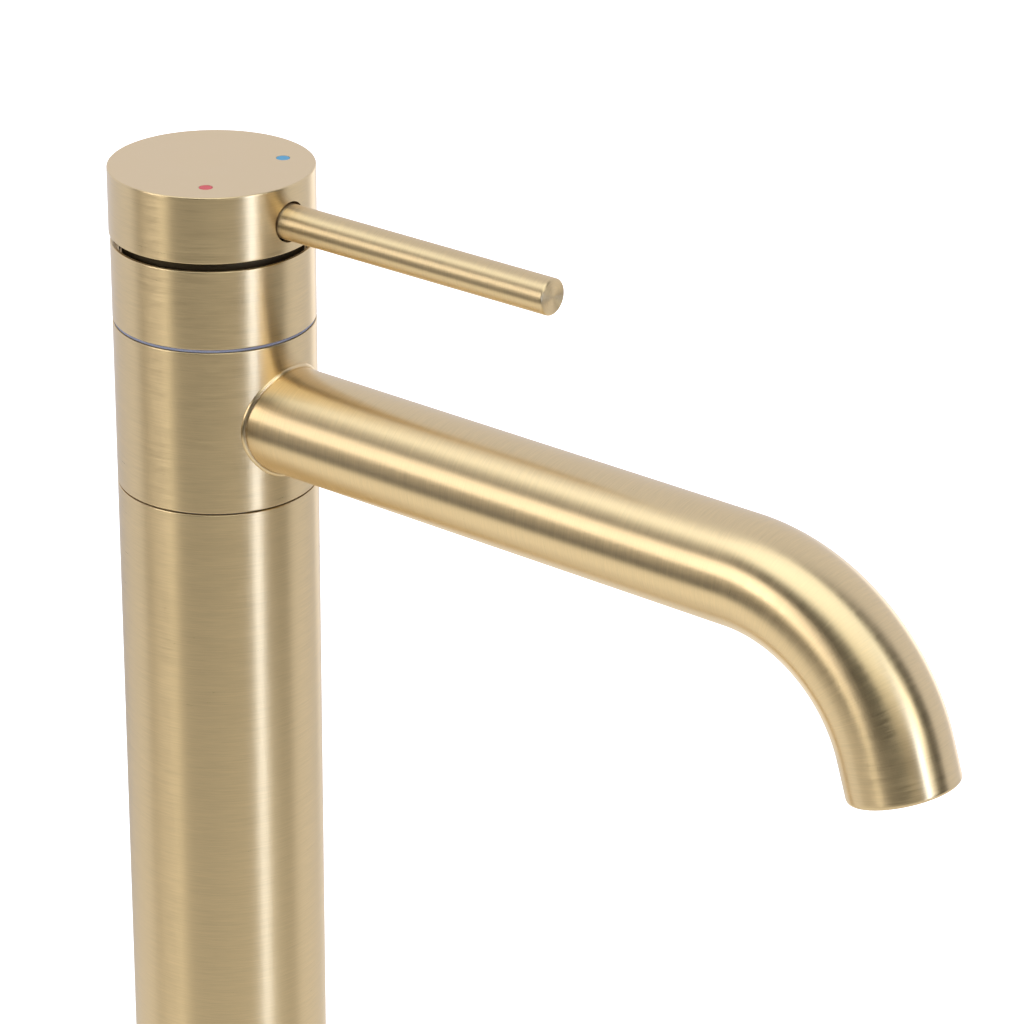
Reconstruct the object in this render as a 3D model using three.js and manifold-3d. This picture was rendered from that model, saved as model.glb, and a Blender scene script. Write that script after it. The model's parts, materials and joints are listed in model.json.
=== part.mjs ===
// Tall single-lever basin mixer with a swivel spout, in millimetres.
// +Z is up, the spout and the lever point along +X, and the origin is the centre of the base, on the deck.
import * as THREE from "three";
import { mergeVertices } from "three/addons/utils/BufferGeometryUtils.js";
import Module from "manifold-3d";

// Driving dimensions
const BODY_R = 22.5; // column, spout collar and cartridge ring share one outside radius
const BODY_BORE = 20.5; // and one bore, which the valve body fills
const CORE_R = 20.35;
const TOP = 310; // top of the handle above the deck
const GAP = 0.3; // between pieces that touch or screw together
const COARSE = 16; // sides of a small round
const FINE = 32; // sides of a large round

// Handle
const CAP_R = 22.75;
const CAP_WALL = 2;
const CAP_TOP_THICKNESS = 3.5;
const CAP_BOTTOM = TOP - 15;
const CAP_CEILING = TOP - CAP_TOP_THICKNESS;
const LIFT = THREE.MathUtils.degToRad(12); // how far the lever can be raised
const RELIEF_START_X = -15; // behind this the rim slopes up, so that the handle can tilt back by the lift
const BOSS_R = 9.5;
const BOSS_BOTTOM = TOP - 11.8;
const LEVER_Z = TOP - 8.3;
const LEVER_R = 4;
const LEVER_END_X = 94;
const LEVER_CHAMFER = 0.5;
const LEVER_THREAD_R = 2.2;
const LEVER_THREAD_X = 6.8;
const SCREW_HOLE_R = 2.5;
const MARK_R = 1.5;
const MARK_X = 9.7;
const MARK_Y = 12.5;
const MARK_DEPTH = 0.7;

// Levels of the joints that show on the body, from the top down
const RING_TOP = CAP_BOTTOM - 1.9;
const RING_BOTTOM = TOP - 34.8;
const COLLAR_TOP = TOP - 35.6;
const COLLAR_BOTTOM = TOP - 73.4;
const COLUMN_TOP = TOP - 73.8;

// Spout
const SPOUT_Z = TOP - 54.5; // where it leaves the collar
const SPOUT_R = 12;
const SPOUT_BORE = 10.5;
const SPOUT_ROOT_R = 20.9; // the tube ends inside the collar's wall
const SPOUT_STRAIGHT = 143.6;
const SPOUT_DROOP = THREE.MathUtils.degToRad(0.44);
const SPOUT_BEND_R = 40.7;
const SPOUT_BEND = THREE.MathUtils.degToRad(72);
const SPOUT_TAIL = 8.5;
const BEND_STEPS = 12;

// Valve body and cartridge
const CUP_FLOOR = TOP - 38;
const CORE_TOP = TOP - 19.5;
const CORE_BOTTOM = COLUMN_TOP - 24;
const CARTRIDGE_R = 17.4;
const HOUSING_SHOULDER = TOP - 24;
const HOUSING_TOP = TOP - 14;
const NUT_TOP = TOP - 14.5;
const NECK_R = 20;
const PIVOT_X = -7; // the pin on which the handle tilts lies towards its back
const PIVOT_Z = TOP - 18;
const BALL_Z = TOP - 25.7;
const BALL_R = 1.8;
const PIN_R = 1.2;
const STEM_HALF = 3.9;
const ROTOR_R = 12;
const PORT_R = 3.6;
const INLETS = [
  [-4.5, -7.5],
  [-4.5, 7.5],
];
const OUTLET = [8.2, 0];

// Base and fixing under the deck
const SHANK_R = 16.4;
const SHANK_BORE = 13;
const SHANK_BOTTOM = -50;
const DECK_THICKNESS = 25;
const WASHER_R = 27;

const wasm = await Module();
wasm.setup();

const faucet = new THREE.Group();

// ---- Helpers ----

// A closed geometry as a manifold-3d solid.
function solidOf(geometry) {
  const bare = new THREE.BufferGeometry();
  bare.setAttribute("position", geometry.getAttribute("position"));
  if (geometry.index) bare.setIndex(geometry.index);
  const merged = mergeVertices(bare, 1e-4);
  return new wasm.Manifold(
    new wasm.Mesh({
      numProp: 3,
      vertProperties: merged.attributes.position.array,
      triVerts: new Uint32Array(merged.index.array),
    }),
  );
}

// The geometry of a manifold-3d solid.
function geometryOf(solid) {
  const mesh = solid.getMesh();
  const geometry = new THREE.BufferGeometry();
  geometry.setAttribute("position", new THREE.BufferAttribute(mesh.vertProperties, 3));
  geometry.setIndex(new THREE.BufferAttribute(mesh.triVerts, 1));
  return geometry;
}

function cut(geometry, ...tools) {
  return geometryOf(tools.reduce((left, tool) => left.subtract(solidOf(tool)), solidOf(geometry)));
}

function join(...geometries) {
  return geometryOf(geometries.map(solidOf).reduce((sum, next) => sum.add(next)));
}

// A solid of revolution about Z, from [radius, z] points that run upwards on the outside.
function turned(points, sides = FINE) {
  const profile = points.map(([r, z]) => new THREE.Vector2(r, z));
  return new THREE.LatheGeometry(profile, sides).rotateX(Math.PI / 2);
}

// A ring about Z with a rectangular section.
function ring(inner, outer, bottom, top, sides = FINE) {
  return turned(
    [
      [inner, bottom],
      [outer, bottom],
      [outer, top],
      [inner, top],
      [inner, bottom],
    ],
    sides,
  );
}

// A disc or rod about Z.
function rod(radius, bottom, top, sides = COARSE) {
  return turned(
    [
      [0, bottom],
      [radius, bottom],
      [radius, top],
      [0, top],
    ],
    sides,
  );
}

function rodAlongX(radius, from, to, z, sides = COARSE) {
  return rod(radius, from, to, sides).rotateY(Math.PI / 2).translate(0, 0, z);
}

function rodAlongY(radius, half, z, sides = COARSE) {
  return rod(radius, -half, half, sides).rotateX(Math.PI / 2).translate(0, 0, z);
}

function block(halfX, halfY, bottom, top) {
  return new THREE.BoxGeometry(2 * halfX, 2 * halfY, top - bottom).translate(0, 0, (bottom + top) / 2);
}

// A block between two X values, as wide as its half width each way from the XZ plane.
function blockAlongX(from, to, halfY, bottom, top) {
  return block((to - from) / 2, halfY, bottom, top).translate((from + to) / 2, 0, 0);
}

// A torus about Z, for an O-ring.
function oRing(centreRadius, sectionRadius, z) {
  return new THREE.TorusGeometry(centreRadius, sectionRadius, 6, FINE).translate(0, 0, z);
}

function portTools(radius, bottom, top, ports = [...INLETS, OUTLET]) {
  return ports.map(([x, y]) => rod(radius, bottom, top, 12).translate(x, y, 0));
}

const materials = {
  brushedGold: new THREE.MeshStandardMaterial({ color: 0xc2a36c, roughness: 0.32, metalness: 1 }),
  rawBrass: new THREE.MeshStandardMaterial({ color: 0xb8975a, roughness: 0.4, metalness: 1 }),
  steel: new THREE.MeshStandardMaterial({ color: 0xb4b4b8, roughness: 0.35, metalness: 1 }),
  rubber: new THREE.MeshStandardMaterial({ color: 0x1c1c1e, roughness: 0.8, metalness: 0 }),
  greyPlastic: new THREE.MeshStandardMaterial({ color: 0x6c6f7c, roughness: 0.45, metalness: 0 }),
  whitePlastic: new THREE.MeshStandardMaterial({ color: 0xe6e6e2, roughness: 0.5, metalness: 0 }),
  ceramic: new THREE.MeshStandardMaterial({ color: 0xf2efe8, roughness: 0.2, metalness: 0 }),
  hotEnamel: new THREE.MeshStandardMaterial({ color: 0xd0474f, roughness: 0.35, metalness: 0 }),
  coldEnamel: new THREE.MeshStandardMaterial({ color: 0x3f8fc8, roughness: 0.35, metalness: 0 }),
};

function add(name, geometry, material, parent = faucet) {
  const mesh = new THREE.Mesh(geometry, material);
  mesh.name = name;
  parent.add(mesh);
}

// ---- Column and base ----

function columnShell() {
  const rebateR = 21.6; // the lower slip ring lies in this step
  const rebateDepth = 1.3;
  const chamfer = 0.3;
  return turned([
    [BODY_BORE, 0],
    [BODY_R - chamfer, 0],
    [BODY_R, chamfer],
    [BODY_R, COLUMN_TOP],
    [rebateR, COLUMN_TOP],
    [rebateR, COLUMN_TOP - rebateDepth],
    [BODY_BORE, COLUMN_TOP - rebateDepth],
    [BODY_BORE, 0],
  ]);
}

// The threaded hollow shank, with the flange that screws into the foot of the column.
function baseShank() {
  const flangeR = BODY_BORE - 0.1;
  const flangeBottom = 3.3;
  const flangeTop = 14;
  return turned([
    [SHANK_BORE, SHANK_BOTTOM],
    [SHANK_R - 0.8, SHANK_BOTTOM],
    [SHANK_R, SHANK_BOTTOM + 0.8],
    [SHANK_R, flangeBottom],
    [flangeR, flangeBottom],
    [flangeR, flangeTop],
    [SHANK_BORE, flangeTop],
    [SHANK_BORE, SHANK_BOTTOM],
  ]);
}

function lockNut(top) {
  const acrossFlats = 46;
  const height = 10;
  const hexagon = new THREE.CylinderGeometry(
    acrossFlats / Math.sqrt(3),
    acrossFlats / Math.sqrt(3),
    height,
    6,
  );
  hexagon.rotateX(Math.PI / 2).translate(0, 0, top - height / 2);
  return cut(hexagon, rod(SHANK_R + GAP, top - height - 1, top + 1, FINE));
}

const gasketTop = -DECK_THICKNESS;
const washerTop = gasketTop - 3 - GAP;
const nutTop = washerTop - 2 - GAP;
const shankClearance = SHANK_R + 0.5;

add("column_shell", columnShell(), materials.brushedGold);
add("base_shank", baseShank(), materials.rawBrass);
add("base_seal", ring(17.3, 20.2, 0, 3, FINE), materials.rubber);
add("deck_gasket", ring(shankClearance, WASHER_R, gasketTop - 3, gasketTop), materials.rubber);
add("deck_washer", ring(shankClearance, WASHER_R, washerTop - 2, washerTop), materials.steel);
add("lock_nut", lockNut(nutTop), materials.rawBrass);

// ---- Valve body: cartridge cup above, swivel journal in the middle, hose ports below ----

const GROOVE_R = 18.3; // floor of the O-ring grooves
const GROOVE_HALF = 1.3;
const CHANNEL_R = 15; // floor of the water channel that feeds the spout
const CHANNEL_HALF = 10;
const O_RING_CENTRE_R = 19.35;
const O_RING_SECTION_R = 0.95;
const SEAL_LEVELS = [COLLAR_BOTTOM + 5.2, COLLAR_TOP - 5.2];

function valveBody() {
  const cupBore = CARTRIDGE_R + GAP;
  const threadBore = 19.2;
  const groove = (centre, half, floor) => [
    [CORE_R, centre - half],
    [floor, centre - half],
    [floor, centre + half],
    [CORE_R, centre + half],
  ];
  const blank = turned([
    [0, CORE_BOTTOM],
    [CORE_R, CORE_BOTTOM],
    ...groove(SEAL_LEVELS[0], GROOVE_HALF, GROOVE_R),
    ...groove(SPOUT_Z, CHANNEL_HALF, CHANNEL_R),
    ...groove(SEAL_LEVELS[1], GROOVE_HALF, GROOVE_R),
    [CORE_R, CORE_TOP],
    [threadBore, CORE_TOP],
    [threadBore, HOUSING_SHOULDER],
    [cupBore, HOUSING_SHOULDER],
    [cupBore, CUP_FLOOR],
    [0, CUP_FLOOR],
  ]);
  const hoseThreadR = 4.6;
  const hoseThreadDepth = 12;
  return cut(
    blank,
    ...portTools(PORT_R, CORE_BOTTOM - 1, CUP_FLOOR + 1, INLETS),
    ...portTools(hoseThreadR, CORE_BOTTOM - 1, CORE_BOTTOM + hoseThreadDepth, INLETS),
    ...portTools(PORT_R, SPOUT_Z, CUP_FLOOR + 1, [OUTLET]),
    rodAlongX(5, OUTLET[0], CHANNEL_R + 1, SPOUT_Z),
  );
}

add("valve_body", valveBody(), materials.rawBrass);
add("lower_oring", oRing(O_RING_CENTRE_R, O_RING_SECTION_R, SEAL_LEVELS[0]), materials.rubber);
add("upper_oring", oRing(O_RING_CENTRE_R, O_RING_SECTION_R, SEAL_LEVELS[1]), materials.rubber);
add("lower_slip_ring", ring(20.6, 21.5, COLUMN_TOP - 1.2, COLUMN_TOP + 0.3), materials.greyPlastic);
add("upper_slip_ring", ring(20.6, 22.2, COLLAR_TOP + 0.1, RING_BOTTOM - 0.1), materials.greyPlastic);

// ---- Cartridge ring and retaining nut ----

function cartridgeRing() {
  const chamfer = 0.25;
  const lipR = 21.7; // the mouth is opened out above the valve body
  return turned([
    [CORE_R + 0.2, RING_BOTTOM],
    [BODY_R, RING_BOTTOM],
    [BODY_R, RING_TOP - chamfer],
    [BODY_R - chamfer, RING_TOP],
    [lipR, RING_TOP],
    [lipR, RING_TOP - 2],
    [CORE_R + 0.2, RING_TOP - 2],
    [CORE_R + 0.2, RING_BOTTOM],
  ]);
}

function cartridgeNut() {
  const threadR = 18.9;
  const bore = 15;
  const flangeBottom = CORE_TOP + GAP;
  return turned([
    [bore, HOUSING_SHOULDER + GAP],
    [threadR, HOUSING_SHOULDER + GAP],
    [threadR, flangeBottom],
    [NECK_R, flangeBottom],
    [NECK_R, NUT_TOP - 0.4],
    [NECK_R - 0.4, NUT_TOP],
    [bore, NUT_TOP],
    [bore, HOUSING_SHOULDER + GAP],
  ]);
}

add("cartridge_ring", cartridgeRing(), materials.brushedGold);
add("cartridge_nut", cartridgeNut(), materials.rawBrass);

// ---- Ceramic cartridge, from its seat upwards ----

const levels = {
  seal: [CUP_FLOOR + 0.1, CUP_FLOOR + 1.1],
  base: [CUP_FLOOR + 1.3, CUP_FLOOR + 4.3],
  discSeal: [CUP_FLOOR + 4.5, CUP_FLOOR + 5.3],
  fixedDisc: [CUP_FLOOR + 5.5, CUP_FLOOR + 7.9],
  movingDisc: [CUP_FLOOR + 8, CUP_FLOOR + 10.4],
  driver: [CUP_FLOOR + 10.6, CUP_FLOOR + 14],
  rotor: [CUP_FLOOR + 14.3, CUP_FLOOR + 22],
};

function ported(radius, [bottom, top], portRadius) {
  return cut(rod(radius, bottom, top, FINE), ...portTools(portRadius, bottom - 1, top + 1));
}

function cartridgeHousing() {
  const discChamberR = 15.5;
  const neckR = 14.7;
  const rotorChamberR = ROTOR_R + GAP;
  const mouthR = 9.8;
  return turned([
    [discChamberR, levels.base[0]],
    [CARTRIDGE_R, levels.base[0]],
    [CARTRIDGE_R, HOUSING_SHOULDER],
    [neckR, HOUSING_SHOULDER],
    [neckR, HOUSING_TOP],
    [mouthR, HOUSING_TOP],
    [mouthR, levels.rotor[1] + GAP],
    [rotorChamberR, levels.rotor[1] + GAP],
    [rotorChamberR, levels.driver[0]],
    [discChamberR, levels.driver[0]],
    [discChamberR, levels.base[0]],
  ]);
}

// The underside of the moving disc has the pocket that joins the inlets to the outlet.
function movingDisc() {
  const [bottom, top] = levels.movingDisc;
  const pocket = block(5.5, 4, bottom - 1, bottom + 1.2).translate(2.5, 0, 0);
  return cut(rod(12.3, bottom, top, FINE), pocket);
}

// The pin's hole and the slot in which the stem's arm tilts.
function cartridgeRotor() {
  const [bottom, top] = levels.rotor;
  const slotBack = PIVOT_X - 3.3;
  const slotFront = STEM_HALF + 1.4;
  return cut(
    rod(ROTOR_R, bottom, top, FINE),
    blockAlongX(slotBack, slotFront, STEM_HALF + GAP, bottom - 1, top + 1),
    rodAlongY(PIN_R + 0.1, ROTOR_R + 1, PIVOT_Z, 12).translate(PIVOT_X, 0, 0),
  );
}

// A square stem for the handle, an arm back to the pin, and a ball below the pin that moves the disc.
function cartridgeStem() {
  const armHalf = 2.2;
  const armTop = levels.rotor[1] - GAP;
  const squareTop = CAP_CEILING - 2;
  const ball = new THREE.SphereGeometry(BALL_R, 12, 8).rotateX(Math.PI / 2);
  const solid = join(
    block(STEM_HALF, STEM_HALF, armTop - 1, squareTop),
    blockAlongX(PIVOT_X - armHalf, STEM_HALF - 0.1, STEM_HALF - 0.1, PIVOT_Z - armHalf, armTop),
    rod(1.3, BALL_Z, PIVOT_Z - armHalf + 1, 12).translate(PIVOT_X, 0, 0),
    ball.translate(PIVOT_X, 0, BALL_Z),
  );
  return cut(solid, rodAlongY(PIN_R + 0.1, STEM_HALF + 1, PIVOT_Z, 12).translate(PIVOT_X, 0, 0));
}

// It carries the moving disc, and the stem's ball works in its hole.
function discDriver() {
  const [bottom, top] = levels.driver;
  const hole = rod(BALL_R + GAP, bottom - 1, top + 1).translate(PIVOT_X, 0, 0);
  return cut(rod(10.4, bottom, top, FINE), hole);
}

add("cartridge_seal", ported(14, levels.seal, PORT_R), materials.rubber);
add("cartridge_base", ported(15.2, levels.base, PORT_R), materials.whitePlastic);
add("disc_seal", ported(13.5, levels.discSeal, PORT_R), materials.rubber);
add("fixed_disc", ported(14.5, levels.fixedDisc, 3), materials.ceramic);
add("cartridge_housing", cartridgeHousing(), materials.whitePlastic);
add("moving_disc", movingDisc(), materials.ceramic);
add("disc_driver", discDriver(), materials.whitePlastic);
add("cartridge_rotor", cartridgeRotor(), materials.greyPlastic);
add("stem_pin", rodAlongY(PIN_R, 8.8, PIVOT_Z, 12).translate(PIVOT_X, 0, 0), materials.steel);
add("cartridge_stem", cartridgeStem(), materials.steel);

// ---- Handle ----

function handleCap() {
  const chamfer = 0.3;
  const bore = CAP_R - CAP_WALL;
  const cap = turned([
    [0, BOSS_BOTTOM],
    [BOSS_R, BOSS_BOTTOM],
    [BOSS_R, CAP_CEILING],
    [bore, CAP_CEILING],
    [bore, CAP_BOTTOM],
    [CAP_R, CAP_BOTTOM],
    [CAP_R, TOP - chamfer],
    [CAP_R - chamfer, TOP],
    [0, TOP],
  ]);
  const reliefLength = 50;
  const relief = new THREE.BoxGeometry(reliefLength, reliefLength, 10);
  relief.translate(-reliefLength / 2, 0, -5).rotateY(LIFT);
  relief.translate(RELIEF_START_X, 0, CAP_BOTTOM);
  const pockets = [-MARK_Y, MARK_Y].map((y) => mark(y, MARK_R + 0.05, MARK_DEPTH + 0.1, 1));
  return cut(
    cap,
    block(STEM_HALF + GAP, STEM_HALF + GAP, BOSS_BOTTOM - 1, CAP_CEILING - 1.5),
    rodAlongX(SCREW_HOLE_R, 0, BOSS_R + 1, LEVER_Z),
    rodAlongX(LEVER_R + 0.35, BOSS_R + 2, CAP_R + 2, LEVER_Z),
    relief,
    ...pockets,
  );
}

// An enamel dot in the top of the handle, or with extra size the pocket it lies in.
function mark(y, radius = MARK_R, depth = MARK_DEPTH, above = 0) {
  return rod(radius, TOP - depth, TOP + above).translate(MARK_X, y, 0);
}

function leverRod() {
  const shoulder = BOSS_R + GAP;
  return turned(
    [
      [0, LEVER_THREAD_X],
      [LEVER_THREAD_R, LEVER_THREAD_X],
      [LEVER_THREAD_R, shoulder],
      [LEVER_R, shoulder],
      [LEVER_R, LEVER_END_X - LEVER_CHAMFER],
      [LEVER_R - LEVER_CHAMFER, LEVER_END_X],
      [0, LEVER_END_X],
    ],
    FINE,
  )
    .rotateY(Math.PI / 2)
    .translate(0, 0, LEVER_Z);
}

// The grub screw clamps the cap to the stem, and the lever screws in after it and hides it.
function grubScrew() {
  const tip = STEM_HALF + GAP;
  const head = LEVER_THREAD_X - GAP;
  const body = rodAlongX(LEVER_THREAD_R, tip, head, LEVER_Z);
  return cut(body, rodAlongX(1.3, head - 1.2, head + 1, LEVER_Z, 6));
}

add("handle_cap", handleCap(), materials.brushedGold);
add("lever_rod", leverRod(), materials.brushedGold);
add("handle_grub_screw", grubScrew(), materials.steel);
add("hot_mark", mark(-MARK_Y), materials.hotEnamel);
add("cold_mark", mark(MARK_Y), materials.coldEnamel);

// ---- Swivel spout ----

// The spout's centre line: out along +X with a slight droop, a bend downwards, and a short straight end.
// Steps are spent on the bend, so a parameter step isn't an equal length.
class SpoutAxis extends THREE.Curve {
  constructor(start) {
    super();
    this.start = start;
    this.steps = BEND_STEPS + 2;
  }

  slope(u) {
    const step = u * this.steps - 1;
    return SPOUT_DROOP + SPOUT_BEND * THREE.MathUtils.clamp(step / BEND_STEPS, 0, 1);
  }

  getTangentAt(u) {
    const slope = this.slope(u);
    return new THREE.Vector3(Math.cos(slope), 0, -Math.sin(slope));
  }

  getPointAt(u) {
    const step = u * this.steps;
    const slope = this.slope(u);
    const reach = THREE.MathUtils.lerp(this.start, SPOUT_STRAIGHT, Math.min(step, 1));
    const fall = (reach - SPOUT_ROOT_R) * Math.tan(SPOUT_DROOP);
    const point = new THREE.Vector3(
      reach + SPOUT_BEND_R * (Math.sin(slope) - Math.sin(SPOUT_DROOP)),
      0,
      SPOUT_Z - fall - SPOUT_BEND_R * (Math.cos(SPOUT_DROOP) - Math.cos(slope)),
    );
    const tail = Math.max(0, step - BEND_STEPS - 1) * SPOUT_TAIL;
    return point.addScaledVector(this.getTangentAt(u), tail);
  }
}

function spoutTube() {
  const section = new THREE.Shape().absarc(0, 0, SPOUT_R, 0, 2 * Math.PI);
  section.holes.push(new THREE.Path().absarc(0, 0, SPOUT_BORE, 0, 2 * Math.PI));
  const axis = new SpoutAxis(SPOUT_ROOT_R - 6);
  const tube = new THREE.ExtrudeGeometry(section, {
    extrudePath: axis,
    steps: axis.steps,
    curveSegments: COARSE / 2 + 4,
  });
  return cut(tube, rod(SPOUT_ROOT_R, SPOUT_Z - 15, SPOUT_Z + 15, FINE));
}

function spoutCollar() {
  return cut(
    ring(BODY_BORE, BODY_R, COLLAR_BOTTOM, COLLAR_TOP),
    rodAlongX(SPOUT_R + 0.15, BODY_BORE - 8, BODY_R + 2, SPOUT_Z, COARSE + 8),
  );
}

// The aerator lies in the spout's end. Its group's Z axis points out of the spout, from the end face.
function aerator() {
  const group = new THREE.Group();
  const axis = new SpoutAxis(0);
  const end = axis.getPointAt(1);
  group.position.copy(end);
  group.rotation.y = Math.PI / 2 + axis.slope(1);
  const face = -0.7;
  const shellR = SPOUT_BORE - GAP;
  const shellBore = 8.4;
  const shell = turned([
    [shellBore, face - 7],
    [shellR, face - 7],
    [shellR, face],
    [shellBore, face],
    [shellBore, face - 7],
  ]);
  add("aerator_housing", shell, materials.whitePlastic, group);
  add("aerator_seal", ring(7.2, shellR - 0.4, face - 9, face - 7.3), materials.rubber, group);

  const cells = [];
  const pitch = 3.1;
  for (let i = -2; i <= 2; i++) {
    for (let j = -2; j <= 2; j++) {
      if (Math.abs(i + j) > 2) continue;
      const x = pitch * (i + j / 2);
      const y = pitch * j * Math.sin(Math.PI / 3);
      cells.push(rod(1.2, face - 7, face, 6).translate(x, y, 0));
    }
  }
  const insert = cut(rod(shellBore - GAP, face - 5, face - 0.8), ...cells);
  add("aerator_insert", insert, materials.greyPlastic, group);
  return group;
}

add("spout_collar", spoutCollar(), materials.brushedGold);
add("spout_tube", spoutTube(), materials.brushedGold);
faucet.add(aerator());

export default faucet;
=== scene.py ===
"""A tall basin mixer in brushed gold: fine meshes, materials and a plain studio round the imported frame.

Lengths are in millimetres until a mesh is made, and every mesh is in metres in the frame's own axes:
+Z up the column, +X along the spout and the lever, with the origin at the centre of the foot.
"""

import json
import math

import bmesh
import bpy
from mathutils import Matrix, Vector


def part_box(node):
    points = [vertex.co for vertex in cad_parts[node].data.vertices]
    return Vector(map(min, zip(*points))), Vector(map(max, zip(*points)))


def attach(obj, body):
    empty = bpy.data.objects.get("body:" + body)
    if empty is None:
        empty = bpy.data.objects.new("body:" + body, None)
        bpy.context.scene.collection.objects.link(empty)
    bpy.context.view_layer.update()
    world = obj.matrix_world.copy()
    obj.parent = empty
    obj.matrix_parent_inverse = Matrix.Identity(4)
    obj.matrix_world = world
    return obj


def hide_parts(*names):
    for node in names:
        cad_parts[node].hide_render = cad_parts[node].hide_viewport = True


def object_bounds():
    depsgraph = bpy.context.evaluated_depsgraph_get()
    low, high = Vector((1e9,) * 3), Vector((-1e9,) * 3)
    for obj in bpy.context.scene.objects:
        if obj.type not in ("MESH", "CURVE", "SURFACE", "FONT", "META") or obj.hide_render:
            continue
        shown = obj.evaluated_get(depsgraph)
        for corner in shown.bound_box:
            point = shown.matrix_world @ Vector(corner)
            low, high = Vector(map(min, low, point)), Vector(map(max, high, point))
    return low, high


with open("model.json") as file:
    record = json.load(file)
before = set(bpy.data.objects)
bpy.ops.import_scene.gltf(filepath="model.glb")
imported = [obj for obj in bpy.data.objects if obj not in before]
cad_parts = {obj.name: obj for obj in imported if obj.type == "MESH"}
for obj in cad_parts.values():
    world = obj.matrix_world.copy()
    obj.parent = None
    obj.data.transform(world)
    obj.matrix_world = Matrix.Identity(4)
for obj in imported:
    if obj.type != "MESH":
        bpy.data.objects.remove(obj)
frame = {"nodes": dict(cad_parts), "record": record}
cad_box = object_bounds()

MM = 0.001
FULL_TURN = 2 * math.pi
ROUND = 192  # segments round a large piece
SPOUT_ROUND = 160
FIXING_ROUND = 128
ROD_ROUND = 96
SMALL_ROUND = 64
MARK_ROUND = 48
POLE_R = 1e-6  # a smaller radius than this is a point on the axis
SHARP = math.radians(35)


def span(node):
    """The lowest and highest Z of a CAD node, in mm."""
    low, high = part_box(node)
    return low[2] / MM, high[2] / MM


def radius(node):
    """Half of a CAD node's width along Y, in mm."""
    low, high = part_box(node)
    return (high[1] - low[1]) / 2 / MM


# Levels and radii that the frame gives
CAP_R = radius("handle_cap")
CAP_RIM, TOP = span("handle_cap")
RING_BOTTOM, RING_TOP = span("cartridge_ring")
COLLAR_BOTTOM, COLLAR_TOP = span("spout_collar")
BODY_R = radius("column_shell")
COLUMN_TOP = span("column_shell")[1]
SPOUT_R = radius("spout_tube")
LEVER_R = radius("lever_rod")
LEVER_Z = span("lever_rod")[1] - LEVER_R
LEVER_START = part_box("lever_rod")[0][0] / MM
LEVER_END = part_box("lever_rod")[1][0] / MM

# Sizes that are the same in the CAD source
BODY_BORE = 20.5
REBATE_R = 21.6  # recess in the column's top, for the lower slip ring
CAP_WALL = 2.0
CAP_CEILING = TOP - 3.5
BOSS_R = 9.5
BOSS_BOTTOM = TOP - 11.8
SOCKET_HALF = 4.2  # half of the square socket for the stem
SCREW_HOLE_R = 2.5
RELIEF_START = -15.0  # behind this X the cap's rim slopes up
LIFT = math.radians(12)
MARK_R = 1.5
SPOUT_Z = TOP - 54.5  # where the spout leaves the collar
SPOUT_BORE = 10.5
SPOUT_ROOT_R = 20.9
SPOUT_STRAIGHT = 143.6
SPOUT_DROOP = math.radians(0.44)
SPOUT_BEND_R = 40.7
SPOUT_BEND = math.radians(72)
SPOUT_TAIL = 8.5
SHANK_R = 16.4
SHANK_BORE = 13.0
SHANK_CHAMFER = 0.8
FLANGE_BOTTOM = 3.3
CLEARANCE_R = 16.9  # bore of the gasket and washer round the shank
NUT_FLATS = 46.0

# Sizes of this model only
LEVER_GAP = 0.55  # shadow gap round the lever's root
SPOUT_BEND_LENGTH = SPOUT_BEND_R * SPOUT_BEND
SPOUT_END = SPOUT_STRAIGHT + SPOUT_BEND_LENGTH + SPOUT_TAIL  # the CAD tube's end, along its axis
SPOUT_LENGTH = SPOUT_END + 0.35
SPOUT_LIP = 1.0
BEAD_R = 0.5
BEAD_SECTION = 12  # points round the bead's section
THREAD_DEPTH = 0.7
THREAD_PITCH = 1.5
THREAD_RUN_OUT = 2.0
THREAD_TOP = -0.5


# ---- Meshes ----


def rounded(corners, steps=5):
    """The points of an outline of (radius, height, fillet) corners, counter-clockwise.

    A fillet becomes an arc, with a point just past each end that keeps the flats beside it flat when they
    are shaded smooth.
    """
    points = []
    for i, (r, z, fillet) in enumerate(corners):
        here = Vector((r, z))
        if not fillet:
            points.append(here)
            continue
        before = Vector(corners[i - 1][:2]) - here
        after = Vector(corners[(i + 1) % len(corners)][:2]) - here
        angle = before.angle(after)
        reach = fillet / math.tan(angle / 2)
        first = here + before.normalized() * reach
        last = here + after.normalized() * reach
        inward = (before.normalized() + after.normalized()).normalized()
        centre = here + inward * fillet / math.sin(angle / 2)
        points.append(first + before.normalized() * fillet * 0.4)
        for k in range(steps + 1):
            points.append(centre + (first - centre).slerp(last - centre, k / steps) * fillet)
        points.append(last + after.normalized() * fillet * 0.4)
    return [(p.x, p.y) for p in points]


def tube_outline(bore, outer, bottom, top, low_edge, high_edge):
    """A tube's outline with its two outer edges rounded."""
    return rounded(
        [(bore, bottom, 0), (outer, bottom, low_edge), (outer, top, high_edge), (bore, top, 0)]
    )


def lengths(outline):
    """Metres along a closed outline to each of its points, and back to the first."""
    along = [0.0]
    for here, after in zip(outline, outline[1:] + outline[:1]):
        along.append(along[-1] + math.dist(here, after) * MM)
    return along


def empty_mesh():
    """A bmesh with a UV layer."""
    bm = bmesh.new()
    bm.loops.layers.uv.new("UVMap")
    return bm


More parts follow.
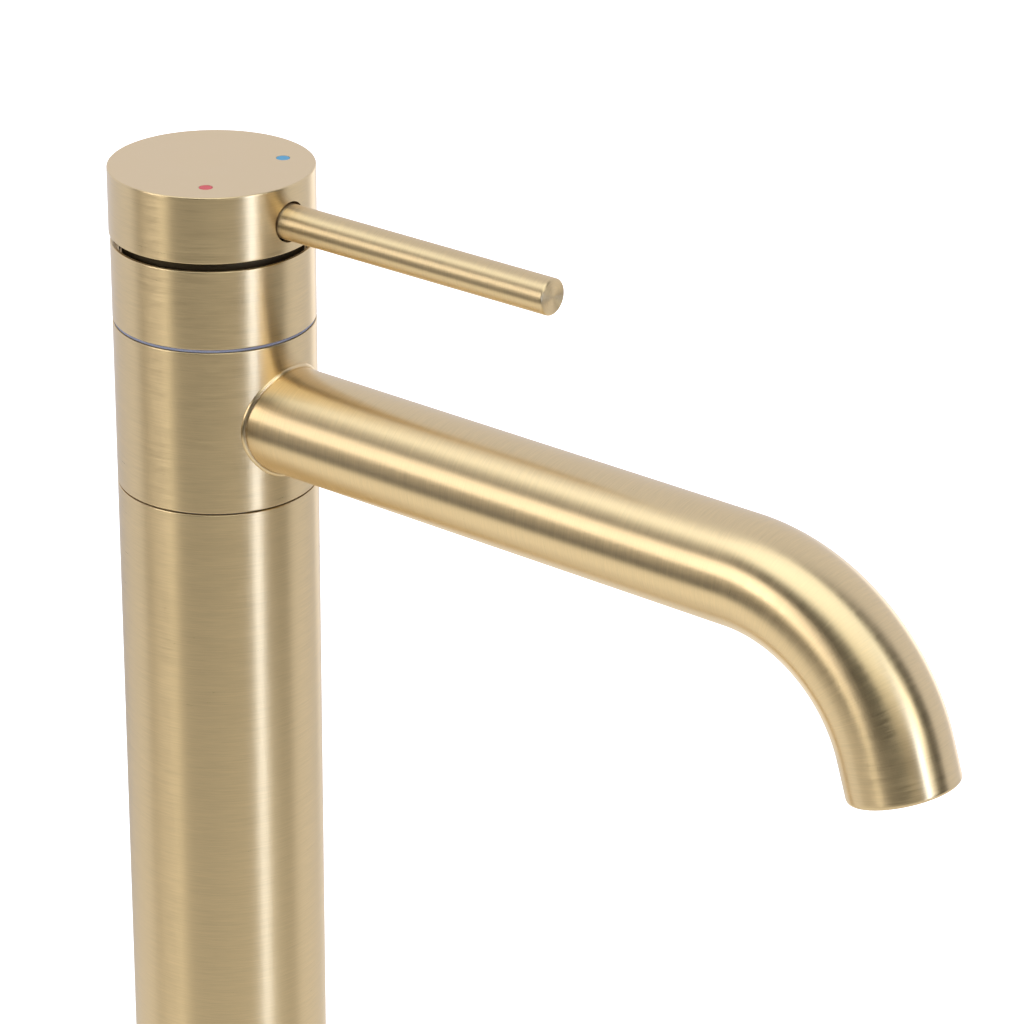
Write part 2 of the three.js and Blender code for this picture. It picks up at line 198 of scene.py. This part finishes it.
def skin(bm, rings, place):
    """Faces between each ring of vertices and the next, where a ring ends with its first vertex again.

    place(i, k) is the UV of vertex k of ring i. A pole is one vertex repeated, and gets triangles.
    """
    uv = bm.loops.layers.uv["UVMap"]
    for i, (near, far) in enumerate(zip(rings, rings[1:])):
        near_pole = near[0] is near[1]
        far_pole = far[0] is far[1]
        if near_pole and far_pole:
            continue
        for k in range(len(near) - 1):
            corners = [(near, i, k), (near, i, k + 1), (far, i + 1, k + 1), (far, i + 1, k)]
            if near_pole:
                corners.pop(0)
            if far_pole:
                corners.pop()
            face = bm.faces.new([ring[j] for ring, _, j in corners])
            for loop, (_, row, j) in zip(face.loops, corners):
                loop[uv].uv = place(row, j)


def turned(outline, segments=ROUND):
    """A closed outline turned about Z. UV: u goes once round, v is metres along the outline."""
    bm = empty_mesh()
    rings = []
    for r, z in outline:
        if r < POLE_R:
            rings.append([bm.verts.new((0, 0, z * MM))] * (segments + 1))
            continue
        turns = [math.pi + FULL_TURN * k / segments for k in range(segments)]
        ring = [bm.verts.new((r * MM * math.cos(a), r * MM * math.sin(a), z * MM)) for a in turns]
        rings.append(ring + ring[:1])
    along = lengths(outline)
    skin(bm, rings + rings[:1], lambda i, k: (k / segments, along[i]))
    return bm


def along_x(bm, z):
    """Turns a bmesh made about Z so that its axis is X, at a height."""
    bm.transform(Matrix.Translation((0, 0, z * MM)) @ Matrix.Rotation(math.pi / 2, 4, "Y"))
    return bm


def rod(r, bottom, top, segments=SMALL_ROUND):
    """A plain cylinder about Z."""
    return turned([(0, bottom), (r, bottom), (r, top), (0, top)], segments)


def block(low, high):
    """A box between two corners."""
    bm = bmesh.new()
    bmesh.ops.create_cube(bm, size=MM)
    size = Vector(high) - Vector(low)
    centre = (Vector(high) + Vector(low)) / 2 * MM
    bm.transform(Matrix.Translation(centre) @ Matrix.Diagonal((*size, 1)))
    return bm


def take_out(obj, tools):
    """Cuts the tools out of an object for good, and removes them."""
    for tool in tools:
        cut = obj.modifiers.new("cut", "BOOLEAN")
        cut.operation = "DIFFERENCE"
        cut.solver = "EXACT"
        cut.object = tool
    whole = obj.data
    graph = bpy.context.evaluated_depsgraph_get()
    obj.data = bpy.data.meshes.new_from_object(obj.evaluated_get(graph))
    obj.modifiers.clear()
    bpy.data.meshes.remove(whole)
    for tool in tools:
        bpy.data.meshes.remove(tool.data)


def made(name, bm, material, cuts=()):
    """An object from a bmesh, with the cutters taken out of it, shaded smooth but for its sharp edges."""
    bm.normal_update()
    for face in bm.faces:
        face.smooth = True
    mesh = bpy.data.meshes.new(name)
    bm.to_mesh(mesh)
    bm.free()
    obj = bpy.data.objects.new(name, mesh)
    bpy.context.scene.collection.objects.link(obj)
    mesh.materials.append(material)
    if cuts:
        take_out(obj, [made(name + "_cutter", cutter, material) for cutter in cuts])
    obj.data.set_sharp_from_angle(angle=SHARP)
    return obj


def piece(name, bm, material, body, nodes=(), cuts=()):
    """A piece that rides on a body, gets the material it is given and stands for CAD nodes."""
    obj = made(name, bm, material, cuts)
    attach(obj, body)
    if nodes:
        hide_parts(*nodes)
    return obj


# ---- Materials ----


class Nodes:
    """Short calls that add nodes to a tree."""

    def __init__(self, tree):
        self.tree = tree

    def node(self, kind, inputs=None, **settings):
        """A node with its settings, and its inputs set to values or linked to other nodes' outputs."""
        node = self.tree.nodes.new("ShaderNode" + kind)
        for key, value in settings.items():
            setattr(node, key, value)
        for key, value in (inputs or {}).items():
            if isinstance(value, bpy.types.NodeSocket):
                self.tree.links.new(value, node.inputs[key])
            else:
                node.inputs[key].default_value = value
        return node

    def math(self, operation, *values):
        return self.node("Math", dict(enumerate(values)), operation=operation).outputs[0]

    def vector(self, operation, *values):
        return self.node("VectorMath", dict(enumerate(values)), operation=operation).outputs[0]

    def step(self, angle, start, end):
        """0 at one angle and 1 at another, both in degrees, with a smooth change between."""
        inputs = {"Value": angle, "From Min": math.radians(start), "From Max": math.radians(end)}
        return self.node("MapRange", inputs, interpolation_type="SMOOTHSTEP").outputs[0]


class Shader(Nodes):
    """A new material, with the nodes that the materials here share."""

    def __init__(self, name, colour, metallic, roughness):
        self.material = bpy.data.materials.new(name)
        self.material.use_nodes = True
        super().__init__(self.material.node_tree)
        self.surface = self.tree.nodes["Principled BSDF"]
        self.colour = colour
        self.set("Base Color", (*colour, 1))
        self.set("Metallic", metallic)
        self.set("Roughness", roughness)

    def set(self, socket, value):
        self.surface.inputs[socket].default_value = value

    def link(self, output, socket):
        self.tree.links.new(output, self.surface.inputs[socket])

    def place(self):
        """The object's own coordinates, in metres."""
        return self.node("TexCoord").outputs["Object"]

    def noise(self, vector, scale, detail):
        inputs = {"Vector": vector, "Scale": scale, "Detail": detail, "Roughness": 0.6}
        return self.node("TexNoise", inputs).outputs["Fac"]

    def stretched(self, vector, scale):
        return self.node("Mapping", {"Vector": vector, "Scale": scale}).outputs[0]

    def ranged(self, value, low, high):
        """A noise's usual range, a quarter to three quarters, spread over low to high."""
        inputs = {"Value": value, "From Min": 0.25, "From Max": 0.75, "To Min": low, "To Max": high}
        return self.node("MapRange", inputs).outputs[0]

    def round_position(self, turns, lines):
        """A place for a noise that closes on itself: so many strokes a turn, and lines a metre along."""
        uv = self.node("UVMap", uv_map="UVMap").outputs[0]
        across, along, _ = self.node("SeparateXYZ", {"Vector": uv}).outputs
        angle = self.math("MULTIPLY", across, FULL_TURN)
        place = {"X": self.math("COSINE", angle), "Y": self.math("SINE", angle), "Z": along}
        reach = turns / FULL_TURN
        return self.stretched(self.node("CombineXYZ", place).outputs[0], (reach, reach, lines))

    def tint(self, factor, dark, light):
        """Base colour between the material's colour times dark and times light."""
        shades = [(*[min(1, c * times) for c in self.colour], 1) for times in (dark, light)]
        mix = self.node("Mix", {0: factor}, data_type="RGBA")
        for socket, shade in zip((mix.inputs[6], mix.inputs[7]), shades):
            socket.default_value = shade
        self.link(mix.outputs[2], "Base Color")

    def bump(self, height, distance):
        inputs = {"Height": height, "Distance": distance * MM, "Strength": 1.0}
        self.link(self.node("Bump", inputs).outputs[0], "Normal")


def brushed_gold(name, turns, roughness):
    """Satin gold brushed round the piece's axis: fine strokes, fainter long ones, slight unevenness.

    turns is about how many strokes, end to end, go round the piece.
    """
    s = Shader(name, (0.79, 0.60, 0.32), 1.0, roughness)
    s.set("Anisotropic", 0.8)
    s.set("Anisotropic Rotation", 0.25)
    s.link(s.node("Tangent", direction_type="UV_MAP", uv_map="UVMap").outputs[0], "Tangent")
    fine = s.noise(s.round_position(turns, 3600), 1.0, 3.0)
    long = s.noise(s.round_position(turns / 3, 700), 1.0, 2.0)
    cloud = s.noise(s.place(), 55.0, 2.0)
    strokes = s.math("ADD", s.ranged(fine, -0.06, 0.06), s.ranged(long, -0.015, 0.015))
    patches = s.ranged(cloud, roughness - 0.015, roughness + 0.015)
    s.link(s.math("ADD", strokes, patches), "Roughness")
    s.tint(s.math("ADD", s.math("MULTIPLY", fine, 0.8), s.math("MULTIPLY", long, 0.2)), 0.80, 1.15)
    s.bump(fine, 0.016)
    return s.material


def satin_top():
    """The cap's end face: the same gold, blasted matt and even."""
    s = Shader("gold_matt_face", (0.80, 0.62, 0.36), 1.0, 0.48)
    grain = s.noise(s.place(), 5200.0, 2.0)
    cloud = s.noise(s.place(), 90.0, 2.0)
    s.link(s.math("ADD", s.ranged(grain, -0.03, 0.03), s.ranged(cloud, 0.46, 0.50)), "Roughness")
    s.tint(grain, 0.95, 1.04)
    s.bump(grain, 0.004)
    return s.material


def machined(name, colour, roughness):
    """Bare turned metal: tool marks round Z, and a slightly dull film."""
    s = Shader(name, colour, 1.0, roughness)
    marks = s.noise(s.stretched(s.place(), (25, 25, 2200)), 1.0, 3.0)
    film = s.noise(s.place(), 130.0, 3.0)
    dulled = s.ranged(film, roughness, roughness + 0.08)
    s.link(s.math("ADD", s.ranged(marks, -0.06, 0.06), dulled), "Roughness")
    s.tint(film, 0.82, 1.05)
    s.bump(marks, 0.01)
    return s.material


def moulded(name, colour, roughness, grain, depth):
    """Moulded plastic, rubber, ceramic or enamel: a fine even grain with slight changes of gloss."""
    s = Shader(name, colour, 0.0, roughness)
    fine = s.noise(s.place(), grain, 3.0)
    cloud = s.noise(s.place(), 160.0, 2.0)
    patches = s.ranged(cloud, roughness - 0.04, roughness + 0.04)
    s.link(s.math("ADD", s.ranged(fine, -0.04, 0.04), patches), "Roughness")
    s.tint(cloud, 0.9, 1.08)
    s.bump(fine, depth)
    return s.material


# The brushed gold of each size of piece, the cap's matt top, unfinished brass painted near-black as painted
# shade, and the record's other slots
MATERIALS = {
    "column": brushed_gold("gold_brushed_column", 20, 0.34),
    "spout": brushed_gold("gold_brushed_spout", 14, 0.34),
    "lever": brushed_gold("gold_brushed_lever", 8, 0.42),
    "top": satin_top(),
    "raw_brass": machined("brass_machined", (0.62, 0.43, 0.19), 0.28),
    # Unfinished brass painted near-black: painted shade for the recessed neck and the cap's inside
    "shade_painted_brass": machined("brass_unfinished_shade_painted", (0.13, 0.10, 0.055), 0.55),
    "steel": machined("steel_plain", (0.56, 0.56, 0.58), 0.30),
    "rubber": moulded("rubber_black", (0.022, 0.022, 0.024), 0.72, 1500.0, 0.02),
    "grey_plastic": moulded("plastic_grey", (0.20, 0.21, 0.27), 0.42, 900.0, 0.006),
    "white_plastic": moulded("plastic_white", (0.80, 0.80, 0.77), 0.45, 900.0, 0.006),
    "ceramic": moulded("ceramic_disc", (0.83, 0.81, 0.76), 0.16, 2400.0, 0.002),
    "hot_enamel": moulded("enamel_red", (0.68, 0.075, 0.065), 0.45, 1100.0, 0.003),
    "cold_enamel": moulded("enamel_blue", (0.07, 0.33, 0.50), 0.45, 1100.0, 0.003),
}


# ---- Column, collar, cartridge ring and the rings in their joints ----


def column():
    rebate = 1.3
    outline = rounded(
        [
            (BODY_BORE, 0, 0.2),
            (BODY_R, 0, 0.35),
            (BODY_R, COLUMN_TOP, 0.2),
            (REBATE_R, COLUMN_TOP, 0.1),
            (REBATE_R, COLUMN_TOP - rebate, 0),
            (BODY_BORE, COLUMN_TOP - rebate, 0),
        ]
    )
    piece("column", turned(outline), MATERIALS["column"], "body", ["column_shell"])


def collar():
    bm = turned(tube_outline(BODY_BORE, BODY_R, COLLAR_BOTTOM, COLLAR_TOP, 0.2, 0.2))
    hole = along_x(rod(SPOUT_R + 0.1, BODY_BORE - 8, BODY_R + 2, FIXING_ROUND), SPOUT_Z)
    piece("collar", bm, MATERIALS["column"], "spout", ["spout_collar"], [hole])


def cartridge_ring():
    """The ring under the cap, with a low lip inside its top edge."""
    lip_r = 21.7
    bore = 20.55
    outline = rounded(
        [
            (bore, RING_BOTTOM, 0),
            (BODY_R, RING_BOTTOM, 0.2),
            (BODY_R, RING_TOP, 0.25),
            (lip_r, RING_TOP, 0.1),
            (lip_r, RING_TOP - 2, 0),
            (bore, RING_TOP - 2, 0),
        ]
    )
    piece("ring", turned(outline), MATERIALS["column"], "body", ["cartridge_ring"])


def slip_rings():
    bore = 20.6
    for name in ("lower_slip_ring", "upper_slip_ring"):
        bottom, top = span(name)
        bm = turned(tube_outline(bore, radius(name), bottom, top, 0.12, 0.12))
        piece(name + "_fine", bm, MATERIALS["grey_plastic"], "body", [name])


def cartridge_nut():
    """The nut's inset neck shows in the gap under the cap. Its brass is painted near-black: painted shade
    for the dark gap.
    """
    bottom, top = span("cartridge_nut")
    neck_r = radius("cartridge_nut")
    thread_r = 18.9
    thread_top = TOP - 19.2
    bore = 15.0
    outline = rounded(
        [
            (bore, bottom, 0.2),
            (thread_r, bottom, 0.3),
            (thread_r, thread_top, 0),
            (neck_r, thread_top, 0.2),
            (neck_r, top, 0.5),
            (bore, top, 0.3),
        ]
    )
    piece("neck", turned(outline), MATERIALS["shade_painted_brass"], "body", ["cartridge_nut"])


# ---- Handle ----


def cap_outline():
    bore = CAP_R - CAP_WALL
    return rounded(
        [
            (0, BOSS_BOTTOM, 0),
            (BOSS_R, BOSS_BOTTOM, 0.3),
            (BOSS_R, CAP_CEILING, 0.5),
            (bore, CAP_CEILING, 0.8),
            (bore, CAP_RIM, 0.15),
            (CAP_R, CAP_RIM, 0.2),
            (CAP_R, TOP, 0.3),
            (0, TOP, 0),
        ]
    )


def cap_relief():
    """What is cut from the back of the rim, so that the cap can tilt."""
    length = 50
    bm = block((-length, -length / 2, -10), (0, length / 2, 0))
    start = Matrix.Translation((RELIEF_START * MM, 0, CAP_RIM * MM))
    bm.transform(start @ Matrix.Rotation(LIFT, 4, "Y"))
    return bm


def at_mark(bm, node):
    """Moves a bmesh from the cap's axis to a mark."""
    low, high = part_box(node)
    bm.transform(Matrix.Translation(((low[0] + high[0]) / 2, (low[1] + high[1]) / 2, 0)))
    return bm


def cap_cuts():
    """The stem's socket, the lever's two holes, the relief and the pockets of the two marks."""
    half = SOCKET_HALF
    return [
        block((-half, -half, BOSS_BOTTOM - 1), (half, half, CAP_CEILING - 1.5)),
        along_x(rod(SCREW_HOLE_R, 0, BOSS_R + 1), LEVER_Z),
        along_x(rod(LEVER_R + LEVER_GAP, BOSS_R + 2, CAP_R + 2, ROD_ROUND), LEVER_Z),
        cap_relief(),
        at_mark(rod(MARK_R + 0.04, TOP - 0.8, TOP + 1), "hot_mark"),
        at_mark(rod(MARK_R + 0.04, TOP - 0.8, TOP + 1), "cold_mark"),
    ]


def cap():
    """Brushed outside, matt on its end face, and inside unfinished brass painted near-black as painted
    shade.
    """
    bm = turned(cap_outline())
    gold = MATERIALS["column"]
    obj = piece("cap", bm, gold, "handle", ["handle_cap"], cap_cuts())
    obj.data.materials.append(MATERIALS["top"])
    obj.data.materials.append(MATERIALS["shade_painted_brass"])
    # The faces inside the cap take the near-black brass, which is painted shade
    inside_r = (CAP_R - CAP_WALL + 0.05) * MM
    for face in obj.data.polygons:
        reach = math.hypot(face.center.x, face.center.y)
        if face.normal.z > 0.999 and face.center.z > (TOP - 0.01) * MM:
            face.material_index = 1
        elif reach < inside_r and face.center.z < CAP_CEILING * MM:
            face.material_index = 2


def lever():
    """The rod, with a thinner neck that screws into the cap's boss."""
    neck_r = 2.2
    shoulder = BOSS_R + 0.3
    outline = rounded(
        [
            (0, LEVER_START, 0),
            (neck_r, LEVER_START, 0.3),
            (neck_r, shoulder, 0.1),
            (LEVER_R, shoulder, 0.2),
            (LEVER_R, LEVER_END, 0.45),
            (0, LEVER_END, 0),
        ]
    )
    bm = along_x(turned(outline, ROD_ROUND), LEVER_Z)
    piece("lever", bm, MATERIALS["lever"], "handle", ["lever_rod"])


def marks():
    for node, finish in (("hot_mark", "hot_enamel"), ("cold_mark", "cold_enamel")):
        bottom, top = span(node)
        outline = rounded([(0, bottom, 0), (MARK_R, bottom, 0), (MARK_R, top, 0.12), (0, top, 0)])
        bm = at_mark(turned(outline, MARK_ROUND), node)
        piece(node + "_fine", bm, MATERIALS[finish], "handle", [node])


# ---- Spout ----


def spout_station(s):
    """Centre and direction of the spout's axis in the XZ plane.

    s is the distance along it, counted from the column's axis.
    """
    slope = SPOUT_DROOP + min(max(s - SPOUT_STRAIGHT, 0) / SPOUT_BEND_R, SPOUT_BEND)
    reach = min(s, SPOUT_STRAIGHT)
    fall = (reach - SPOUT_ROOT_R) * math.tan(SPOUT_DROOP)
    x = reach + SPOUT_BEND_R * (math.sin(slope) - math.sin(SPOUT_DROOP))
    z = SPOUT_Z - fall - SPOUT_BEND_R * (math.cos(SPOUT_DROOP) - math.cos(slope))
    direction = Vector((math.cos(slope), 0, -math.sin(slope)))
    tail = max(s - SPOUT_STRAIGHT - SPOUT_BEND_LENGTH, 0)
    return Vector((x, 0, z)) + direction * tail, direction


def spout_rows():
    """(distance along the axis, radius) of the tube's rings: out over the outside, back through the bore.

    The first and last are the root, which has no one distance.
    """
    start = 30
    straight = [start + (SPOUT_STRAIGHT - start) * k / 14 for k in range(14)]
    bend = [SPOUT_STRAIGHT + SPOUT_BEND_LENGTH * k / 56 for k in range(57)]
    tail = [SPOUT_LENGTH - 4, SPOUT_LENGTH - SPOUT_LIP - 0.3]
    rows = [(None, SPOUT_R)]
    rows += [(s, SPOUT_R) for s in straight + bend + tail]
    for k in range(9):
        a = math.pi / 2 * k / 8
        inset = SPOUT_LIP - SPOUT_LIP * math.cos(a)
        rows.append((SPOUT_LENGTH - SPOUT_LIP + SPOUT_LIP * math.sin(a), SPOUT_R - inset))
    rows += [(SPOUT_LENGTH, SPOUT_BORE + 0.1), (SPOUT_LENGTH - 0.1, SPOUT_BORE)]
    rows += [(s, SPOUT_BORE) for s in bend[::-2] + straight[::-2]]
    return rows + [(None, SPOUT_BORE)]


def root_point(a, r):
    """A point of the root, which lies on a cylinder about Z inside the collar's wall."""
    y = math.sin(a) * r
    return Vector((math.sqrt(SPOUT_ROOT_R**2 - y * y), y, SPOUT_Z - math.cos(a) * r))


def spout_point(s, a, r):
    """A point round the spout's axis, with angle 0 at its underside."""
    centre, direction = spout_station(s)
    down = Vector((direction.z, 0, -direction.x))
    return centre + Vector((0, math.sin(a) * r, 0)) + down * math.cos(a) * r


def spout():
    bm = empty_mesh()
    rows = spout_rows()
    rings = []
    for s, r in rows:
        turns = [FULL_TURN * k / SPOUT_ROUND for k in range(SPOUT_ROUND)]
        points = [root_point(a, r) if s is None else spout_point(s, a, r) for a in turns]
        ring = [bm.verts.new(point * MM) for point in points]
        rings.append(ring + ring[:1])
    along = lengths([(SPOUT_ROOT_R if s is None else s, r) for s, r in rows])
    skin(bm, rings + rings[:1], lambda i, k: (k / SPOUT_ROUND, along[i]))
    bmesh.ops.recalc_face_normals(bm, faces=bm.faces)
    piece("spout", bm, MATERIALS["spout"], "spout", ["spout_tube"])


def bead_ring(bm, a):
    """The bead's section where the tube's side at angle a meets the collar, wider than it is high."""
    seam_r = SPOUT_R + 0.2
    y, z = seam_r * math.cos(a), seam_r * math.sin(a)
    centre = Vector((math.sqrt(BODY_R**2 - y * y), y, z))
    from_tube = Vector((0, math.cos(a), math.sin(a)))
    from_collar = Vector((centre.x, y, 0)).normalized()
    across = (from_tube - from_collar * from_tube.dot(from_collar)).normalized()
    level = Vector((0, 0, SPOUT_Z))
    ring = []
    for j in range(BEAD_SECTION):
        b = FULL_TURN * j / BEAD_SECTION
        point = centre + BEAD_R * (across * math.cos(b) * 1.25 + from_collar * math.sin(b))
        ring.append(bm.verts.new((point + level) * MM))
    return ring + ring[:1]


def braze_bead():
    """The thin raised bead where the spout's tube meets the collar."""
    around = 0.003  # metres round the section, in the UV map
    bm = empty_mesh()
    rings = [bead_ring(bm, FULL_TURN * k / SPOUT_ROUND) for k in range(SPOUT_ROUND)]
    skin(bm, rings + rings[:1], lambda i, k: (i / SPOUT_ROUND, k / BEAD_SECTION * around))
    bmesh.ops.recalc_face_normals(bm, faces=bm.faces)
    piece("braze_bead", bm, MATERIALS["spout"], "spout")


def aerator_housing():
    """The aerator's shell, in the end of the spout."""
    inset = 0.7
    depth = 7.0
    bore = 8.4
    end, direction = spout_station(SPOUT_END)
    bm = turned(tube_outline(bore, SPOUT_BORE - 0.3, -inset - depth, -inset, 0.2, 0.35), ROD_ROUND)
    turn = Matrix.Rotation(math.pi / 2 + math.acos(direction.x), 4, "Y")
    bm.transform(Matrix.Translation(end * MM) @ turn)
    piece("aerator_shell", bm, MATERIALS["white_plastic"], "spout", ["aerator_housing"])


# ---- Fixing under the deck ----


def thread_radius(z, angle, bottom):
    """The threaded shank's surface: one start, running out at both ends, with the foot chamfered."""
    phase = (z / THREAD_PITCH - angle / FULL_TURN) % 1
    cut = THREAD_DEPTH * (1 - abs(2 * phase - 1))
    fade = min((z - bottom) / THREAD_RUN_OUT, (THREAD_TOP - z) / THREAD_RUN_OUT, 1)
    chamfer = SHANK_CHAMFER * max(0, 1 - (z - bottom) / 0.9)
    return SHANK_R - cut * max(fade, 0) - chamfer


def shank():
    """The hollow shank with its flange, and a thread up to just under the deck's top."""
    bottom, top = span("base_shank")
    flange_r = radius("base_shank")
    low = bottom + 0.3
    steps = int((THREAD_TOP - bottom) / THREAD_PITCH * 8)
    outline = [(SHANK_BORE, bottom), (SHANK_R - SHANK_CHAMFER, bottom)]
    outline += [(SHANK_R, low + (THREAD_TOP - low) * k / steps) for k in range(steps + 1)]
    outline += [(SHANK_R, FLANGE_BOTTOM), (flange_r, FLANGE_BOTTOM), (flange_r, top), (SHANK_BORE, top)]
    bm = turned(outline, ROD_ROUND)
    for vert in bm.verts:
        r = math.hypot(vert.co.x, vert.co.y) / MM
        z = vert.co.z / MM
        if r < SHANK_R - 0.01 or z > THREAD_TOP + 0.01:
            continue
        target = thread_radius(z, math.atan2(vert.co.y, vert.co.x), bottom)
        vert.co.x *= target / r
        vert.co.y *= target / r
    piece("shank", bm, MATERIALS["raw_brass"], "body", ["base_shank"])


def gasket_and_washer():
    for node, finish, edge in (("deck_gasket", "rubber", 0.8), ("deck_washer", "steel", 0.35)):
        bottom, top = span(node)
        bm = turned(tube_outline(CLEARANCE_R, radius(node), bottom, top, edge, edge), FIXING_ROUND)
        piece(node + "_fine", bm, MATERIALS[finish], "body", [node])


def nut():
    """A hexagon with its corners turned down at both ends."""
    bottom, top = span("lock_nut")
    flat = NUT_FLATS / 2
    corner = flat / math.cos(math.pi / 6)
    hexagon = turned([(0, bottom), (corner, bottom), (corner, top), (0, top)], 6)
    hexagon.transform(Matrix.Rotation(math.pi / 6, 4, "Z"))
    cuts = [rod(SHANK_R + 0.3, bottom - 1, top + 1, ROD_ROUND)]
    start, beyond, height = flat - 0.6, corner + 3, 3.5
    for end, way in ((bottom, 1), (top, -1)):
        past = end - way * 0.01
        ring = [(start, past), (beyond, past), (beyond, end + way * height)]
        if way < 0:
            ring.reverse()
        cuts.append(turned(ring, ROD_ROUND))
    piece("nut", hexagon, MATERIALS["raw_brass"], "body", ["lock_nut"], cuts)


# ---- Studio ----

# Soft panels of light: name, middle azimuth, half width, lowest and highest elevation and edge softness,
# all in degrees, then the light. Azimuth turns from +X towards +Y, and a half width of 200 is all round.
PANELS = [
    ("front_strip", -5.5, 4.5, -16, 8, 3, (5.6, 6.9, 11.0)),
    ("front_box", 3, 7, 7, 25, 3, (4.3, 4.5, 4.7)),
    ("front_top", -5, 8, 26, 40, 5, (1.9, 2.2, 2.8)),
    ("side_strip", -112, 13.4, 3, 27, 3, (3.8, 3.8, 4.1)),
    ("side_foot", -102, 5, -10, 5, 4, (1.9, 1.9, 1.8)),
    ("side_fill", -134, 13, 27, 47, 5, (0.42, 0.42, 0.44)),
    ("side_fill_low", -128, 10, -18, 3, 5, (0.30, 0.28, 0.28)),
    ("backdrop", 128, 91, -24, 90, 5, (0.74, 0.78, 0.96)),
    ("back_strip", 100, 9, -24, 2, 5, (0.9, 0.9, 0.9)),
    ("table_edge", 0, 200, -52, -28, 5, (0.22, 0.22, 0.22)),
    ("table", 0, 200, -200, -28, 5, (0.80, 0.80, 0.82)),
    ("softbox", -74, 80, 47, 200, 6, (1.60, 1.75, 1.95)),
    ("softbox_skirt", -38, 20, 27, 45, 5, (1.50, 1.55, 1.55)),
    ("camera_glow", -25, 15, 5, 24, 5, (0.44, 0.38, 0.32)),
]
DIM_ROOM = (0.05, 0.05, 0.05)


def panel_mask(sky, level, elevation, panel):
    """1 where a direction meets the panel and 0 elsewhere; level is the direction laid flat."""
    _, azimuth, half, low, high, soft, _ = panel
    toward = (math.cos(math.radians(azimuth)), math.sin(math.radians(azimuth)), 0)
    dot = sky.node("VectorMath", {0: level, 1: toward}, operation="DOT_PRODUCT").outputs["Value"]
    mask = sky.step(sky.math("ARCCOSINE", dot), half + soft, half - soft)
    mask = sky.math("MULTIPLY", mask, sky.step(elevation, low - soft, low + soft))
    return sky.math("MULTIPLY", mask, sky.step(elevation, high + soft, high - soft))


def studio():
    """The panels light the faucet and show in its metal; the camera itself sees white behind it."""
    world = bpy.data.worlds.new("studio")
    bpy.context.scene.world = world
    world.use_nodes = True
    world.node_tree.nodes.clear()
    sky = Nodes(world.node_tree)
    direction = sky.node("TexCoord").outputs["Generated"]
    height = sky.node("SeparateXYZ", {"Vector": direction}).outputs[2]
    elevation = sky.math("ARCSINE", height)
    level = sky.vector("NORMALIZE", sky.vector("MULTIPLY", direction, (1, 1, 0)))
    total = DIM_ROOM
    for panel in PANELS:
        inputs = {0: panel[-1], "Scale": panel_mask(sky, level, elevation, panel)}
        glow = sky.node("VectorMath", inputs, operation="SCALE").outputs[0]
        total = sky.vector("ADD", glow, total)
    lit = sky.node("Background", {"Color": total}).outputs[0]
    white = sky.node("Background", {"Color": (1, 1, 1, 1)}).outputs[0]
    seen = sky.node("LightPath").outputs["Is Camera Ray"]
    surface = sky.node("MixShader", {0: seen, 1: lit, 2: white}).outputs[0]
    sky.node("OutputWorld", {"Surface": surface})


def floor():
    """A plain white floor under the shank. The metal doesn't mirror it, and it lights itself a little."""
    half = 30.0
    gap = 0.0005
    bm = bmesh.new()
    bmesh.ops.create_grid(bm, x_segments=1, y_segments=1, size=half)
    bm.transform(Matrix.Translation((0, 0, cad_box[0][2] - gap)))
    s = Shader("floor_white", (0.86, 0.86, 0.86), 0.0, 0.9)
    s.set("Emission Color", (1, 1, 1, 1))
    s.set("Emission Strength", 0.75)
    obj = made("floor", bm, s.material)
    obj.visible_glossy = False
    obj.visible_shadow = False


def camera():
    """At the photographed viewpoint, from above and to the side of the spout, with a long lens."""
    place = Vector((588.5, -641.2, TOP + 301.6)) * MM
    heading = math.radians(128.21)
    pitch = math.radians(-23.86)
    roll = 0.0075
    data = bpy.data.cameras.new("camera")
    data.sensor_width = 36
    data.lens = 148.357
    data.clip_start = 0.05
    data.clip_end = 100
    level = Vector((math.cos(heading), math.sin(heading), 0))
    forward = level * math.cos(pitch) + Vector((0, 0, math.sin(pitch)))
    right = forward.cross(Vector((0, 0, 1))).normalized()
    up = right.cross(forward)
    across = right * math.cos(roll) + up * math.sin(roll)
    turn = Matrix((across, across.cross(forward), -forward)).transposed().to_4x4()
    obj = bpy.data.objects.new("camera", data)
    bpy.context.scene.collection.objects.link(obj)
    obj.matrix_world = Matrix.Translation(place) @ turn
    bpy.context.scene.camera = obj


def finishes_on_kept_nodes():
    """Each CAD node that still shows gets the material of its slot."""
    for row in frame["record"]["subparts"]:
        obj = frame["nodes"][row["node"]]
        if obj.hide_render:
            continue
        for place in obj.material_slots:
            place.material = MATERIALS[row["material_slot"]]


column()
collar()
cartridge_ring()
slip_rings()
cartridge_nut()
cap()
lever()
marks()
spout()
braze_bead()
aerator_housing()
shank()
gasket_and_washer()
nut()
finishes_on_kept_nodes()
floor()
camera()
studio()
bpy.context.scene.view_settings.view_transform = "Standard"

bpy.context.view_layer.update()
